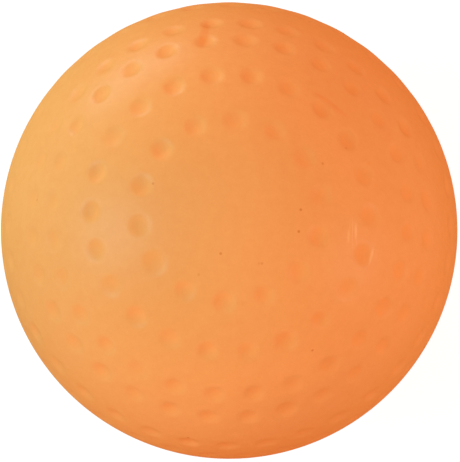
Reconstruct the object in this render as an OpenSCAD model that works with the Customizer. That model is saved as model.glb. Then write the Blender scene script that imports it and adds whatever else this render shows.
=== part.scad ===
// Street hockey ball: two dimpled PVC half shells, tongued and grooved
// and welded at the equator, with a plugged vent at the rear pole.
// Millimetres. The origin is the ball's centre, +Z points to the front pole.

/* [Ball] */
// Outside diameter of the ball
ball_d = 72; // [65:0.5:75]
// Thickness of the moulded wall
wall = 4.5; // [3.5:0.1:8]

/* [Dimples] */
// Width of a dimple at the ball's surface
dimple_d = 3.6; // [2.5:0.1:4.5]
// Spacing of the dimples along their ring
dimple_pitch = 5.95; // [5:0.05:8]
// Angle from the pole to each ring of dimples, in degrees
ring_angles = [22, 35, 48, 56.5, 71.5, 81]; // [15:0.5:84]
// Turn of each ring about the pole, in degrees
ring_turns = [3.5, 9, 5, 6, 0.5, 5]; // [0:0.5:25]
// Depth of the dimples in each ring, less near the seam so that the mould
// draws off
ring_depths = [0.35, 0.4, 0.35, 0.3, 0.25, 0.2]; // [0.15:0.05:0.6]

/* [Seam] */
// Radial thickness of the tongue on the front half
tongue_t = 1.5; // [1:0.1:2]
// Height of the tongue below the front half's land
tongue_h = 2; // [1:0.1:3]
// Thickness of the weld all round the tongue
weld_t = 0.2; // [0.1:0.05:0.4]
// Width of the weld bead left standing inside the ball
bead_w = 1.6; // [1:0.1:2.5]

/* [Vent plug] */
// Diameter of the vent hole through the rear half
vent_d = 2.6; // [2:0.1:3.5]
// Diameter of the plug's head
head_d = 5.4; // [4.5:0.1:7]
// Thickness of the plug's head, measured at the pole
head_t = 1.6; // [1.2:0.1:2.2]
// Diameter of the barb that snaps in behind the wall
barb_d = 3.4; // [2.8:0.1:4]
// Length of the barb's tapered nose
barb_l = 2; // [1.5:0.1:3]
// Gap between the plug and its hole, on each side
plug_fit = 0.05; // [0.03:0.01:0.1]

/* [Hidden] */
$fn = 96;

// Fineness of one small dimple or plug surface
small_fn = 32;
// How far a cutting shape runs past the face that it cuts
past = 1;
// The same for a dimple's cutter, which stays clear of its neighbours
dimple_past = 0.05;

ball_r = ball_d / 2;
inner_r = ball_r - wall;
// Middle of the wall at the equator, where the tongue stands
tongue_r = ball_r - wall / 2;
groove_t = tongue_t + 2 * weld_t;

// How far the ball bulges above the rim of a dimple
rim_rise = ball_r - sqrt(ball_r ^ 2 - (dimple_d / 2) ^ 2);

// Underside of the plug's head, and the wall's inner face at the barb's edge
head_seat_r = ball_r - head_t;
stem_r = vent_d / 2 - plug_fit;
barb_face_r = sqrt(inner_r ^ 2 - (barb_d / 2) ^ 2) - plug_fit;

front_colour = [0.95, 0.60, 0.33];
rear_colour = [0.95, 0.57, 0.30];
weld_colour = [0.90, 0.47, 0.22];
plug_colour = [0.95, 0.66, 0.40];

// Number of dimples round a ring. It is even, so each ring looks the same
// after half a turn.
function ring_count(angle) =
    2 * round(PI * ball_r * sin(angle) / dimple_pitch);

// Radius of the sphere that takes a dimple out of the ball. Its cap sinks
// below the rim by what the bulge leaves of the depth.
function cap_r(depth) =
    let (sink = depth - rim_rise)
    ((dimple_d / 2) ^ 2 + sink ^ 2) / (2 * sink);

// Cap of that sphere, standing on its lowest point
module dimple_cap(depth) {
    rotate_extrude($fn = small_fn)
        intersection() {
            translate([0, cap_r(depth)])
                circle(r = cap_r(depth));
            square([dimple_d, depth + dimple_past]);
        }
}

// All the dimples of one half, ring by ring from its pole
module dimples() {
    for (i = [0 : len(ring_angles) - 1]) {
        count = ring_count(ring_angles[i]);
        for (k = [0 : count - 1])
            rotate([0, ring_angles[i], 90 - ring_turns[i] - k * 360 / count])
                translate([0, 0, ball_r - ring_depths[i]])
                    dimple_cap(ring_depths[i]);
    }
}

// Section of the whole wall, on the right of the axis
module wall_section() {
    intersection() {
        difference() {
            circle(r = ball_r);
            circle(r = inner_r);
        }
        translate([0, -ball_r - past])
            square([ball_r + past, ball_d + 2 * past]);
    }
}

// Section of the side of the joint that lies above a height
module above(height) {
    translate([0, height])
        square([ball_r + past, ball_r + past]);
}

// Section of the tongue or the groove, reaching down from the land beside it
module tongue_section(thickness, land) {
    translate([tongue_r - thickness / 2, land - tongue_h])
        square([thickness, tongue_h + past]);
}

// Section of everything on the front half's side of the joint
module front_side() {
    above(weld_t / 2);
    tongue_section(tongue_t, weld_t / 2);
}

// Section of everything above the rear half's face
module front_side_and_weld() {
    above(-weld_t / 2);
    tongue_section(groove_t, -weld_t / 2);
}

module front_half_shell() {
    color(front_colour)
    difference() {
        rotate_extrude()
            intersection() {
                wall_section();
                front_side();
            }
        dimples();
    }
}

module rear_half_shell() {
    color(rear_colour)
    difference() {
        rotate_extrude()
            difference() {
                wall_section();
                front_side_and_weld();
            }
        rotate([180, 0, 0])
            dimples();
        plug_seat();
    }
}

// Vent hole and the counterbore for the plug's head
module plug_seat() {
    translate([0, 0, -ball_r - past])
        cylinder(d = vent_d, h = wall + 2 * past, $fn = small_fn);
    translate([0, 0, -ball_r - past])
        cylinder(r = head_d / 2 + plug_fit, h = head_t + past, $fn = small_fn);
}

// The fused line between the halves, trimmed flush outside and left as a
// rounded bead inside
module seam_weld() {
    color(weld_colour)
    rotate_extrude() {
        difference() {
            intersection() {
                wall_section();
                front_side_and_weld();
            }
            front_side();
        }
        intersection() {
            translate([inner_r, 0])
                circle(d = bead_w, $fn = small_fn);
            circle(r = inner_r);
        }
    }
}

// Headed plug pushed in from outside, its head trimmed to the ball's round
module vent_plug() {
    color(plug_colour)
    intersection() {
        sphere(r = ball_r);
        rotate_extrude($fn = small_fn)
            polygon([
                [0, -ball_r - past],
                [head_d / 2, -ball_r - past],
                [head_d / 2, -head_seat_r],
                [stem_r, -head_seat_r],
                [stem_r, -barb_face_r],
                [barb_d / 2, -barb_face_r],
                [stem_r / 2, -barb_face_r + barb_l],
                [0, -barb_face_r + barb_l],
            ]);
    }
}

front_half_shell();
rear_half_shell();
seam_weld();
vent_plug();
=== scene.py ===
"""Street hockey ball: the looks of its two welded half shells, their seam and the vent plug.
Metres, in the frame of the CAD part: the origin is the ball's centre and +Z points to the front pole."""

import math

import bpy
import numpy as np
from mathutils import Matrix, Vector


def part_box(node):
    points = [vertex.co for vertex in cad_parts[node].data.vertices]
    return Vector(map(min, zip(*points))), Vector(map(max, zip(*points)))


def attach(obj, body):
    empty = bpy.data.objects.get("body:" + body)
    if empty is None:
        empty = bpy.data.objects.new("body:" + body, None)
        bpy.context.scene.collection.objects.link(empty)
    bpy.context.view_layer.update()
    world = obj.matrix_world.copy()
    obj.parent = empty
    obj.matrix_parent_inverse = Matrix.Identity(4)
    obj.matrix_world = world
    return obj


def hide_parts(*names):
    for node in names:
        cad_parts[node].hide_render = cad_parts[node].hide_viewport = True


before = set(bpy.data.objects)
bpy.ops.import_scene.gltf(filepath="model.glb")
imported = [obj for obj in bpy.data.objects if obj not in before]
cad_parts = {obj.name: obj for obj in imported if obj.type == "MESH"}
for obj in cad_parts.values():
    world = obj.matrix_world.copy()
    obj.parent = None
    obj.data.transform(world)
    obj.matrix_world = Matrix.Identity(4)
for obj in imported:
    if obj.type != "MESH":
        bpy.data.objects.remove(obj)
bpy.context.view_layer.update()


# Front half shell
# Half of the hollow ball, injection moulded in soft orange PVC. Shallow round dimples lie in rings about its
# bare pole, and the tongue on its rim goes into the other half's groove, where the two are welded.

mm = 0.001
tongue_low, pole_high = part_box("front_half_shell")
ball_r = round(pole_high.z, 6)
wall = 4.5 * mm
inner_r = ball_r - wall
weld_t = 0.2 * mm
land = weld_t / 2
tongue_tip = round(tongue_low.z, 6)
tongue_r = ball_r - wall / 2
tongue_half = 0.75 * mm
# How far the moulded edge is rounded over at the parting line, and how far back that reaches
edge_sink = 0.06 * mm
edge_reach = 0.35 * mm

# Angle of each ring of dimples from the pole, and its turn about the pole
ring_angles = np.radians([22, 35, 48, 56.5, 71.5, 81])
ring_turns = np.radians([3.5, 9, 5, 6, 0.5, 5])
# The dimples get shallower towards the seam, so that the mould draws off
ring_depths = np.array([0.35, 0.4, 0.35, 0.3, 0.25, 0.2]) * mm
dimple_pitch = 5.95 * mm
ring_counts = 2 * np.round(math.pi * ball_r * np.sin(ring_angles) / dimple_pitch).astype(int)
dimple_r = 1.7 * mm
# Share of the bowl over which its lip is rounded
dimple_lip = 0.4
# How much one dimple differs from the next, as a share of its width and of its depth
width_spread = 0.04
depth_spread = 0.15
front_seed = 3
# How far below the ball's round the shade painted into the bowls, and their less glossy skin, begin and are
# full
bowl_rim = 0.05 * mm
bowl_deep = 0.3 * mm
# Share of the satin skin that is left in the bowls, where the mould's pins were less polished
bowl_skin = 0.2

# Columns of the mesh round the ball, and rows down its outside, along the parting edge and inside
columns = 512
face_rows = 130
edge_rows = 9
cavity_rows = 28
# Radius below which a row is one point on the axis, and the bend past which an edge stays sharp
axis_reach = 1e-9
crease = math.radians(35)


def dimple_sink(polar, turn, seed):
    """Depth of the dimples at each polar angle and turn. In every ring the nearest dimple is the one that the
    turn rounds to. With u = 1 - (distance / dimple radius)^2 the bowl is depth times u, and where u is within
    the lip of zero it is eased to (u + lip)^2 / (4 lip), which rounds the rim over. Each dimple differs a
    little in width and depth."""
    vary = np.random.default_rng(seed)
    sink = np.zeros(np.broadcast(polar, turn).shape)
    for angle, first, count, ring_depth in zip(ring_angles, ring_turns, ring_counts, ring_depths):
        step = 2 * math.pi / count
        steps = (math.pi / 2 - first - turn) / step
        which = np.round(steps).astype(int)
        off = (steps - which) * step
        nearness = np.cos(polar) * np.cos(angle) + np.sin(polar) * np.sin(angle) * np.cos(off)
        distance = ball_r * np.arccos(np.clip(nearness, -1, 1))
        width = vary.normal(1, width_spread, count)[which % count]
        depth = ring_depth * vary.normal(1, depth_spread, count)[which % count]
        u = 1 - (distance / (dimple_r * width)) ** 2
        eased = np.where(u < dimple_lip, np.maximum(u + dimple_lip, 0) ** 2 / (4 * dimple_lip), u)
        sink += depth * eased
    return sink


def edge_round(height):
    """Sink of the parting edge: it grows with the square of the way down from its reach to the land."""
    down = np.clip(1 - (np.abs(height) - land) / edge_reach, 0, 1)
    return edge_sink * down ** 2


def revolved(name, section, sink=0.0, closed=False):
    """A section carried round the Z axis: its point at radius r and height z goes to (r cos a, r sin a, z) at
    every column's angle a, then sinks towards the ball's centre. A row on the axis is one point, and a closed
    section's last row is joined to its first. Faces point to the left of the way along the section."""
    turn = np.linspace(0, 2 * math.pi, columns, endpoint=False)
    r, z = section[:, :1], section[:, 1:]
    grid = np.stack(np.broadcast_arrays(r * np.cos(turn), r * np.sin(turn), z), axis=-1)
    grid = grid * (1 - sink / np.linalg.norm(grid, axis=-1))[..., None]
    index = np.arange(grid.shape[0] * columns).reshape(-1, columns)
    on_axis = r[:, 0] < axis_reach
    index[on_axis] = index[on_axis, :1]
    if closed:
        index = np.vstack([index, index[:1]])
    beside = np.roll(index, -1, axis=1)
    quads = np.stack([index[:-1], index[1:], beside[1:], beside[:-1]], axis=-1).reshape(-1, 4)
    first_pole = quads[:, 0] == quads[:, 3]
    last_pole = quads[:, 1] == quads[:, 2]
    full = quads[~first_pole & ~last_pole]
    fans = np.vstack([quads[first_pole][:, :3], quads[last_pole][:, [0, 1, 3]]])
    used, renumbered = np.unique(np.concatenate([full.ravel(), fans.ravel()]), return_inverse=True)
    full = renumbered[: full.size].reshape(-1, 4)
    fans = renumbered[full.size:].reshape(-1, 3)
    mesh = bpy.data.meshes.new(name)
    mesh.from_pydata(grid.reshape(-1, 3)[used].tolist(), [], full.tolist() + fans.tolist())
    mesh.shade_smooth()
    mesh.set_sharp_from_angle(angle=crease)
    piece = bpy.data.objects.new(name, mesh)
    bpy.context.scene.collection.objects.link(piece)
    return piece


def arc(radius, start, end, rows):
    """Points of a circle about the ball's centre, from one polar angle to another, as radius and height."""
    angle = np.linspace(start, end, rows)
    return radius * np.stack([np.sin(angle), np.cos(angle)], axis=-1)


def half_face(pole_angle):
    """The outside of a front half from near its pole to the parting line, with closer rows over twice the
    reach of its rounded edge."""
    edge_angle = math.acos((land + 2 * edge_reach) / ball_r)
    face = arc(ball_r, pole_angle, edge_angle, face_rows)
    edge = arc(ball_r, edge_angle, math.acos(land / ball_r), edge_rows)
    return np.vstack([face[:-1], edge])


def face_sink(face, rows, seed, way=1):
    """Dimples and rounded edge on the first rows of a half's section, and nothing on the rest. The way is -1
    for a half that is turned over about the X axis, where heights and turns change their sign."""
    turn = way * np.linspace(0, 2 * math.pi, columns, endpoint=False)
    polar = np.arctan2(face[:, :1], way * face[:, 1:])
    sink = np.zeros((rows, columns))
    sink[: len(face)] = dimple_sink(polar, turn, seed) + edge_round(face[:, 1:])
    return sink


def add(tree, kind, inputs=(), **settings):
    """A shader node with its settings and inputs: each input is a value, or the socket that feeds it."""
    made = tree.nodes.new("ShaderNode" + kind)
    for name, value in settings.items():
        setattr(made, name, value)
    for key, value in dict(inputs).items():
        if isinstance(value, bpy.types.NodeSocket):
            tree.links.new(value, made.inputs[key])
        else:
            made.inputs[key].default_value = value
    return made


def math_of(tree, operation, *values):
    """The result of one Math node."""
    return add(tree, "Math", enumerate(values), operation=operation).outputs[0]


def spread(tree, value, low, high, to_low=0.0, to_high=1.0):
    """A value between low and high, stretched smoothly over another range."""
    inputs = {"Value": value, "From Min": low, "From Max": high, "To Min": to_low, "To Max": to_high}
    return add(tree, "MapRange", inputs, interpolation_type="SMOOTHSTEP").outputs[0]


def blended(tree, share, one, other):
    """A colour that goes from one to the other with the share."""
    return add(tree, "Mix", {0: share, 6: one, 7: other}, data_type="RGBA").outputs[2]


# The colour's slow clouds, mottling and grit: waves per metre, and the share that each has
cloud_waves = 60
cloud_share = 0.2
mottle_waves = 700
mottle_share = 0.8
grit_waves = 3000
grit_share = 0.6
# The wandering gloss: waves per metre, and the roughnesses that it goes between
gloss_waves = 140
gloss_smooth = 0.36
gloss_rough = 0.46
# The coarse and the fine unevenness: waves per metre and share of each, and how high both stand
peel_waves = 420
peel_share = 0.7
grain_waves = 1900
grain_share = 0.3
uneven_height = 0.12 * mm
uneven_strength = 0.6
# Levels of the noise that are stretched over a whole range
noise_low = 0.3
noise_high = 0.7


def moulded_pvc_group():
    """Moulded PVC: slow clouds, mottling and grit in the colour, shade painted in a deeper colour and less of
    the satin skin in the bowls of the dimples, a gloss that wanders, and the unevenness that a mould leaves
    on a soft surface."""
    tree = bpy.data.node_groups.new("moulded_pvc", "ShaderNodeTree")
    for name in ("Colour", "Cloud Colour", "Bowl Shade Colour"):
        tree.interface.new_socket(name, in_out="INPUT", socket_type="NodeSocketColor")
    tree.interface.new_socket("Colour", in_out="OUTPUT", socket_type="NodeSocketColor")
    for name in ("Roughness", "Skin", "Height"):
        tree.interface.new_socket(name, in_out="OUTPUT", socket_type="NodeSocketFloat")
    given = tree.nodes.new("NodeGroupInput").outputs
    out = tree.nodes.new("NodeGroupOutput").inputs
    place = add(tree, "TexCoord").outputs["Object"]

    def noise(scale, detail):
        inputs = {"Vector": place, "Scale": scale, "Detail": detail}
        return add(tree, "TexNoise", inputs).outputs["Fac"]

    slow = spread(tree, noise(cloud_waves, detail=3), noise_low, noise_high)
    clouds = math_of(tree, "MULTIPLY", slow, cloud_share)
    mottle = math_of(tree, "MULTIPLY", noise(mottle_waves, detail=3), mottle_share)
    grit = math_of(tree, "MULTIPLY_ADD", noise(grit_waves, detail=1), grit_share, -grit_share / 2)
    cloudy = math_of(tree, "ADD", math_of(tree, "ADD", clouds, mottle), grit)
    colour = blended(tree, cloudy, given["Colour"], given["Cloud Colour"])
    from_centre = add(tree, "VectorMath", {0: place}, operation="LENGTH").outputs["Value"]
    # Painted shade: below the ball's round, in the bowls, the colour turns to the deeper bowl colour
    bowl = spread(tree, from_centre, ball_r - bowl_deep, ball_r - bowl_rim, 1.0, 0.0)
    tree.links.new(blended(tree, bowl, colour, given["Bowl Shade Colour"]), out["Colour"])

    wander = noise(gloss_waves, detail=4)
    gloss = spread(tree, wander, noise_low, noise_high, gloss_smooth, gloss_rough)
    tree.links.new(gloss, out["Roughness"])
    tree.links.new(math_of(tree, "MULTIPLY_ADD", bowl, bowl_skin - 1, 1.0), out["Skin"])
    peel = math_of(tree, "MULTIPLY", noise(peel_waves, detail=2), peel_share)
    grain = math_of(tree, "MULTIPLY", noise(grain_waves, detail=2), grain_share)
    tree.links.new(math_of(tree, "ADD", peel, grain), out["Height"])
    return tree


moulded_pvc = moulded_pvc_group()
# The satin skin: its weight and roughness, and how far a face has turned from the eye where it begins to fade
# and where it is gone
skin_weight = 0.26
skin_roughness = 0.37
skin_fades = 0.35
skin_gone = 0.75
pvc_ior = 1.52


def pvc_material(name, colour, cloud_colour, bowl_shade_colour):
    """Soft PVC of one colour with painted shade where it sinks: a matt body under a thin satin skin, whose
    gloss fades at grazing angles.
    """
    material = bpy.data.materials.new(name)
    material.use_nodes = True
    tree = material.node_tree
    shader = tree.nodes["Principled BSDF"]
    colours = {"Colour": colour, "Cloud Colour": cloud_colour, "Bowl Shade Colour": bowl_shade_colour}
    finish = add(tree, "Group", colours, node_tree=moulded_pvc, name="finish").outputs
    relief = {"Height": finish["Height"], "Strength": uneven_strength, "Distance": uneven_height}
    uneven = add(tree, "Bump", relief).outputs["Normal"]
    facing = add(tree, "LayerWeight", {"Blend": 0.5}).outputs["Facing"]
    skin = spread(tree, facing, skin_fades, skin_gone, skin_weight, 0.0)
    tree.links.new(finish["Colour"], shader.inputs["Base Color"])
    tree.links.new(finish["Roughness"], shader.inputs["Roughness"])
    tree.links.new(math_of(tree, "MULTIPLY", skin, finish["Skin"]), shader.inputs["Coat Weight"])
    tree.links.new(uneven, shader.inputs["Normal"])
    shader.inputs["IOR"].default_value = pvc_ior
    shader.inputs["Specular IOR Level"].default_value = 0.0
    shader.inputs["Coat Roughness"].default_value = skin_roughness
    return material


face = half_face(0)
tongue = [
    [tongue_r + tongue_half, land],
    [tongue_r + tongue_half, tongue_tip],
    [tongue_r - tongue_half, tongue_tip],
    [tongue_r - tongue_half, land],
]
cavity = arc(inner_r, math.acos(land / inner_r), 0, cavity_rows)
front_section = np.vstack([face, tongue, cavity])
front_sink = face_sink(face, len(front_section), front_seed)
front_shell = revolved("front_half_shell_pvc", front_section, front_sink)

orange = (0.82, 0.375, 0.12, 1)
deep_orange = (0.78, 0.327, 0.095, 1)
# The bowls of the dimples are painted this deeper orange as shade
bowl_shade_orange = (0.822, 0.355, 0.111, 1)
# Specks of burnt material in the front's skin: millimetres right and up of its pole, and strength
specks = [
    (-29.2, 2.8, 0.7), (-11.3, 3.9, 0.8), (10.3, 0, 1.1), (10.0, -3.2, 1.2),
    (-1.4, -6.5, 1.0), (-4.6, -9.5, 0.4), (12.2, -20.2, 1.1), (-6.3, -32.9, 1.1),
    (13.6, 7.0, 0.8), (17.2, 9.6, 0.5), (4.2, -7.9, 0.4), (4.6, -7.9, 0.6),
]
speck_r = 0.28 * mm
# Share of its radius over which a speck is even
speck_even = 0.4
# Fine scratches, drawn as pale lines that are a painted highlight where a lamp shows in them, a soft dark
# scuff and a flow mark. For each, in millimetres and degrees: its middle, right and up of the pole, its half
# length and half width, and its turn
fine_scratch_highlights = ((17.9, -3.2), (3.2, 1.3), 90)
soft_scuff = ((15.0, 17.0), (5.0, 1.6), -36)
flow_mark = ((-3.9, 27.7), (3.2, 1.0), 81)
# Share of a mark's length and width over which it is even
mark_even = 0.3
# Clear strokes among the scratches, also painted pale as highlight: the same, and the strength of each beside
# that of the fine ones
fine_strength = 0.6
highlight_strokes = [
    ((18.5, -2.8), (1.6, 0.28), 90, 1.0),
    ((17.4, -3.6), (1.4, 0.24), 90, 0.7),
    ((20.9, -6.3), (1.7, 0.30), 76, 0.8),
]
# Lines across the half width of the scratches and of the scuff, how often a line changes along its half
# length, and the levels of noise between which a line begins and is full
scratch_lines = 6.0
scuff_lines = 0.8
line_changes = 0.5
line_begins = 0.5
line_full = 0.62
# Colour of the marks, and the share that it takes where a mark is strongest. The pale of the scratches is a
# painted highlight.
speck_brown = (0.55, 0.12, 0.01, 1)
speck_share = 0.5
scratch_highlight_pale = (0.92, 0.54, 0.24, 1)
scratch_highlight_share = 0.5
scuff_deep = (0.78, 0.24, 0.05, 1)
scuff_share = 0.4
flow_share = 0.5


def speck_mask(tree, place):
    """Each speck's strength in its middle, fading to 0 at its radius. Places are compared as directions from
    the ball's centre, so that a speck in a bowl shows too."""
    outward = add(tree, "VectorMath", {0: place}, operation="NORMALIZE").outputs["Vector"]
    reach = speck_r / ball_r
    mask = 0.0
    for right, up, strength in specks:
        spot = Vector((right, up, math.sqrt((ball_r / mm) ** 2 - right ** 2 - up ** 2))).normalized()
        away = add(tree, "VectorMath", {0: outward, 1: spot}, operation="DISTANCE").outputs["Value"]
        mask = math_of(tree, "MAXIMUM", mask, spread(tree, away, speck_even * reach, reach, strength, 0.0))
    return mask


def patch(tree, place, middle, size, turn):
    """A patch seen along the axis: coordinates that are 1 at its ends and sides, and a mask that fades from 1
    in its middle to 0 there."""
    inputs = {
        "Vector": place,
        "Location": (middle[0] * mm, middle[1] * mm, 0),
        "Rotation": (0, 0, math.radians(turn)),
        "Scale": (size[0] * mm, size[1] * mm, 1),
    }
    along = add(tree, "Mapping", inputs, vector_type="TEXTURE").outputs["Vector"]
    away = add(tree, "VectorMath", {0: along}, operation="LENGTH").outputs["Value"]
    return along, spread(tree, away, mark_even, 1.0, 1.0, 0.0)


def streak_mask(tree, along, mask, across):
    """Thin lines along a patch: noise drawn out along it and kept where it is high, with so many lines
    across."""
    inputs = {0: along, 1: (line_changes, across, 1)}
    drawn = add(tree, "VectorMath", inputs, operation="MULTIPLY").outputs["Vector"]
    level = add(tree, "TexNoise", {"Vector": drawn, "Scale": 1.0}).outputs["Fac"]
    return math_of(tree, "MULTIPLY", mask, spread(tree, level, line_begins, line_full))


front_pvc = pvc_material("front_shell_pvc", orange, deep_orange, bowl_shade_orange)
tree = front_pvc.node_tree
place = add(tree, "TexCoord").outputs["Object"]
# Painted highlight: pale lines along the scratches where a lamp shows in them
scratch_highlights = streak_mask(tree, *patch(tree, place, *fine_scratch_highlights), scratch_lines)
scratch_highlights = math_of(tree, "MULTIPLY", scratch_highlights, fine_strength)
for middle, size, turn, strength in highlight_strokes:
    stroke = math_of(tree, "MULTIPLY", patch(tree, place, middle, size, turn)[1], strength)
    scratch_highlights = math_of(tree, "MAXIMUM", scratch_highlights, stroke)
scuff = streak_mask(tree, *patch(tree, place, *soft_scuff), scuff_lines)
flow = patch(tree, place, *flow_mark)[1]
marks = (
    (scratch_highlights, scratch_highlight_share, scratch_highlight_pale),
    (scuff, scuff_share, scuff_deep),
    (flow, flow_share, scuff_deep),
    (speck_mask(tree, place), speck_share, speck_brown),
)
marked = tree.nodes["finish"].outputs["Colour"]
for mask, share, colour in marks:
    marked = blended(tree, math_of(tree, "MULTIPLY", mask, share), marked, colour)
tree.links.new(marked, tree.nodes["Principled BSDF"].inputs["Base Color"])
front_shell.data.materials.append(front_pvc)
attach(front_shell, "root")
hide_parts("front_half_shell")


# Rear half shell
# The other half from the same kind of mould, in the same PVC, so its dimples are the front half's turned
# over. It has the groove for the tongue in its rim, and at its pole the vent hole, with a seat for the plug.

rear_seed = 5
vent_r = 1.3 * mm
seat_r = 2.75 * mm
seat_depth = 1.6 * mm
seat_z = -(ball_r - seat_depth)
groove_half = tongue_half + weld_t
groove_floor = tongue_tip - weld_t

face = half_face(math.asin(seat_r / ball_r))[::-1] * (1, -1)
vent = [
    [seat_r, seat_z],
    [vent_r, seat_z],
]
cavity = arc(inner_r, math.pi - math.asin(vent_r / inner_r), math.acos(-land / inner_r), cavity_rows)
groove = [
    [tongue_r - groove_half, -land],
    [tongue_r - groove_half, groove_floor],
    [tongue_r + groove_half, groove_floor],
    [tongue_r + groove_half, -land],
]
rear_section = np.vstack([face, vent, cavity, groove])
rear_sink = face_sink(face, len(rear_section), rear_seed, way=-1)
rear_shell = revolved("rear_half_shell_pvc", rear_section, rear_sink, closed=True)

rear_shell.data.materials.append(pvc_material("rear_shell_pvc", orange, deep_orange, bowl_shade_orange))
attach(rear_shell, "root")
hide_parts("rear_half_shell")


# Seam weld
# The line where the two halves were fused, of PVC melted from both. It fills the gap round the tongue, was
# trimmed just below the outside, and stands up as a rounded bead where it was squeezed out into the cavity.

bead_r = 0.8 * mm
bead_rows = 15
# How far the trimmed line lies below the ball's round, and how much that wanders
trim_sink = 0.07 * mm
trim_wander = 0.015 * mm
# Waves of that wandering round the seam, and the least and most that each one counts
ripple_waves = (5, 11, 23, 47)
ripple_least = 0.2
ripple_most = 0.5
ripple_seed = 11

bead_turn = np.linspace(1.5 * math.pi, 0.5 * math.pi, bead_rows)
bead = np.stack([inner_r + bead_r * np.cos(bead_turn), bead_r * np.sin(bead_turn)], axis=-1)
trimmed = [[ball_r, land], [ball_r, 0], [ball_r, -land]]
weld_section = np.vstack([
    trimmed,
    groove[::-1],
    [[inner_r, -land]],
    bead,
    [[inner_r, land]],
    tongue[::-1],
])
ripple_turn = np.linspace(0, 2 * math.pi, columns, endpoint=False)
draw = np.random.default_rng(ripple_seed)
ripple = sum(
    np.sin(waves * ripple_turn + draw.uniform(0, 2 * math.pi)) * draw.uniform(ripple_least, ripple_most)
    for waves in ripple_waves
)
weld_sink = np.zeros((len(weld_section), columns))
weld_sink[: len(trimmed)] = trim_sink + trim_wander * ripple
seam_weld = revolved("seam_weld_line", weld_section, weld_sink, closed=True)

fused_orange = (0.86, 0.27, 0.06, 1)
fused_deep = (0.80, 0.22, 0.05, 1)
# Its deeper colour is also painted as shade where the trimmed line sinks below the ball's round
seam_weld.data.materials.append(pvc_material("fused_pvc", fused_orange, fused_deep, fused_deep))
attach(seam_weld, "root")
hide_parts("seam_weld")


# Vent plug
# A small headed plug of the same soft PVC, pushed in from outside until its barb snaps behind the wall. Its
# head fills the seat at the rear pole and follows the ball's round.

plug_fit = 0.05 * mm
head_r = seat_r - plug_fit
head_round = 0.25 * mm
stem_r = vent_r - plug_fit
barb_r = 1.7 * mm
barb_l = 2 * mm
barb_z = -math.sqrt(inner_r ** 2 - barb_r ** 2) + plug_fit
nose_r = stem_r / 2
nose_z = barb_z + barb_l
cap_rows = 12
round_rows = 6

cap_edge = math.pi - math.asin((head_r - head_round) / ball_r)
cap = arc(ball_r, cap_edge, math.pi, cap_rows)
round_turn = np.linspace(0, -0.5 * math.pi, round_rows)
corner = [head_r - head_round, cap[0, 1] + head_round] + head_round * np.stack(
    [np.cos(round_turn), np.sin(round_turn)], axis=-1
)
plug_section = np.vstack([
    [[0, nose_z], [nose_r, nose_z], [barb_r, barb_z]],
    [[stem_r, barb_z], [stem_r, seat_z], [head_r, seat_z]],
    corner[:-1],
    cap,
])
vent_plug = revolved("vent_plug_pvc", plug_section)

plug_orange = (0.90, 0.38, 0.12, 1)
plug_deep = (0.88, 0.33, 0.09, 1)
# Its deeper colour is also painted as shade on the rounded edge of its head, below the ball's round
vent_plug.data.materials.append(pvc_material("plug_pvc", plug_orange, plug_deep, plug_deep))
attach(vent_plug, "root")
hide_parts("vent_plug")


# Floor, lamps and camera
# The ball lies on a plain white table with its front pole up, and is photographed from nearly straight above.
# A cool box on the left is the main lamp. A weaker one stands on the right, a strip behind at the upper left,
# a warm box overhead, and two orange cards on the darker side.

table = bpy.data.meshes.new("table")
table_half = 3.0
corners = ((-1, -1), (1, -1), (1, 1), (-1, 1))
table.from_pydata([(x * table_half, y * table_half, -ball_r) for x, y in corners], [], [(0, 1, 2, 3)])
floor = bpy.data.objects.new("table", table)
bpy.context.scene.collection.objects.link(floor)
white = bpy.data.materials.new("white_table")
white.use_nodes = True
tree = white.node_tree
shader = tree.nodes["Principled BSDF"]
# The table sends little light back up at the ball. For the camera and for reflections a glow makes up what
# its grey lacks of white, at the level of the lamps' light on it.
table_grey = 0.15
table_light = 0.6
shader.inputs["Base Color"].default_value = (table_grey, table_grey, table_grey, 1)
shader.inputs["Roughness"].default_value = 0.8
shader.inputs["Emission Color"].default_value = (1, 1, 1, 1)


def shown(tree):
    """1 on rays that show the background, straight or in gloss or glass, and 0 on those that light things."""
    ray = add(tree, "LightPath").outputs
    mirrored = math_of(tree, "MAXIMUM", ray["Is Glossy Ray"], ray["Is Transmission Ray"])
    return math_of(tree, "MAXIMUM", ray["Is Camera Ray"], mirrored)


glow = math_of(tree, "MULTIPLY", shown(tree), 1 - table_light * table_grey)
tree.links.new(glow, shader.inputs["Emission Strength"])
table.materials.append(white)

world = bpy.data.worlds.new("studio")
bpy.context.scene.world = world
world.use_nodes = True
tree = world.node_tree
background = tree.nodes["Background"]
ambient = (0.33, 0.238, 0.149, 1)
tree.links.new(blended(tree, shown(tree), ambient, (1, 1, 1, 1)), background.inputs["Color"])


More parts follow.
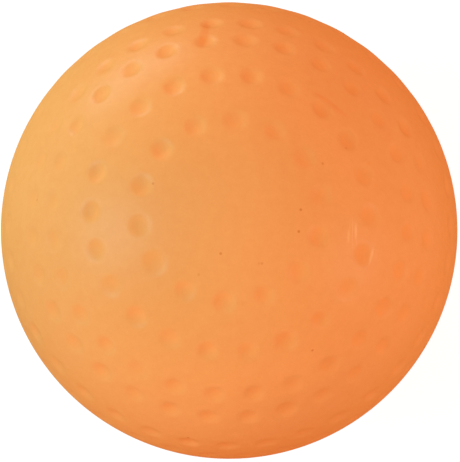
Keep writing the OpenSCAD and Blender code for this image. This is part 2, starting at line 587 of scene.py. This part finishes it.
def soft_box(name, bearing, lean, distance, width, height, level, colour):
    """A rectangular area lamp that faces the ball, at a bearing clockwise from the top of the picture and a
    lean away from the front axis, in degrees. Its power is level times pi^2 distance^2, so a white surface
    square to it at the ball shines with that level."""
    lamp = bpy.data.lights.new(name, "AREA")
    lamp.shape = "RECTANGLE"
    lamp.size = width
    lamp.size_y = height
    lamp.energy = level * (math.pi * distance) ** 2
    lamp.color = colour
    holder = bpy.data.objects.new(name, lamp)
    bearing, lean = math.radians(bearing), math.radians(lean)
    across = math.sin(lean)
    way = Vector((across * math.sin(bearing), across * math.cos(bearing), math.cos(lean)))
    holder.location = way * distance
    holder.rotation_euler = way.to_track_quat("Z", "Y").to_euler()
    holder.visible_camera = False
    bpy.context.scene.collection.objects.link(holder)


cool_white = (0.77, 1, 1)
warm_white = (1, 0.8, 0.75)
soft_box(
    "left_box", bearing=266, lean=58, distance=0.7,
    width=0.35, height=0.45, level=0.79, colour=cool_white,
)
soft_box(
    "right_box", bearing=106, lean=66, distance=0.7,
    width=0.30, height=0.35, level=0.25, colour=cool_white,
)
soft_box(
    "back_left_box", bearing=328, lean=94, distance=0.25,
    width=0.15, height=0.035, level=0.38, colour=cool_white,
)
soft_box(
    "overhead_box", bearing=277, lean=6, distance=0.45,
    width=0.36, height=0.36, level=0.17, colour=warm_white,
)
# Two orange cards on the darker side send the ball's own colour back into its shade
card_orange = (1, 0.32, 0.14)
soft_box(
    "low_card", bearing=167, lean=82, distance=0.7,
    width=0.60, height=0.18, level=0.54, colour=card_orange,
)
soft_box(
    "high_card", bearing=49, lean=65, distance=0.7,
    width=0.60, height=0.18, level=0.57, colour=card_orange,
)

# The camera's axes, from where the front pole leans in the photograph
pole_right = 0.0046
pole_up = 0.0883
back = Vector((-pole_right, -pole_up, math.sqrt(1 - pole_right ** 2 - pole_up ** 2)))
up = (Vector((0, 1, 0)) - back * back.y).normalized()
right = up.cross(back)
# How many of the ball's radii the camera stands from its centre
camera_radii = 12.35
# In pixels of the photograph: the ball's radius, the longer side, and how far the view is shifted
ball_pixels = 228.3
frame_pixels = 462
shift_right = 0.83
shift_up = -0.45
camera = bpy.data.cameras.new("camera")
camera.sensor_width = 36
focal_pixels = ball_pixels * math.sqrt(camera_radii ** 2 - 1)
camera.lens = camera.sensor_width * focal_pixels / frame_pixels
camera.shift_x = shift_right / frame_pixels
camera.shift_y = shift_up / frame_pixels
camera.clip_start = 0.01
camera_holder = bpy.data.objects.new("camera", camera)
axes = Matrix((right, up, back)).transposed().to_4x4()
camera_holder.matrix_world = Matrix.Translation(back * camera_radii * ball_r) @ axes
bpy.context.scene.collection.objects.link(camera_holder)
bpy.context.scene.camera = camera_holder
bpy.context.scene.view_settings.view_transform = "Standard"
